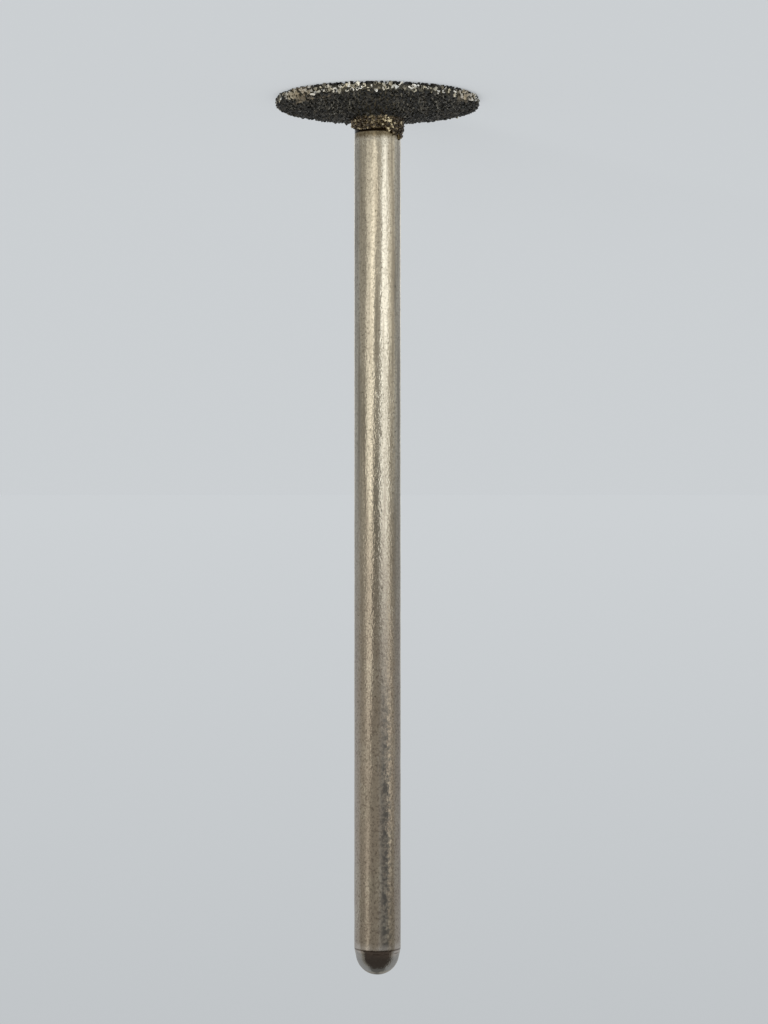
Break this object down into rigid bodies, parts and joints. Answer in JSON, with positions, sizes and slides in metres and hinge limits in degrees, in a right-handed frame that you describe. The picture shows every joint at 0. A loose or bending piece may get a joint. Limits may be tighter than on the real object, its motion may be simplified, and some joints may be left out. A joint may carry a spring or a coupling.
{
  "type": "diamond disc dental bur",
  "caption": "Straight-shank dental bur with a thin diamond-coated disc across its end, a conical disc back and a round-nosed shank.",
  "frame": {"origin": "centre of the coated outer face of the disc, on which the bur stands", "axes": "+Z along the bur's axis from the disc to the free end of the shank; -Y is the side that the picture shows, -X its right-hand side"},
  "size_m": [0.0102, 0.0102, 0.0445],
  "materials": {
    "plated_steel": "satin warm nickel plate, fine ground and lightly stained",
    "diamond_grit": "coarse dark diamond grit held in nickel, brown and gold round the neck"
  },
  "bodies": {
    "root": {"turned_blank": "plated_steel", "diamond_coat": "diamond_grit"}
  },
  "joints": []
}
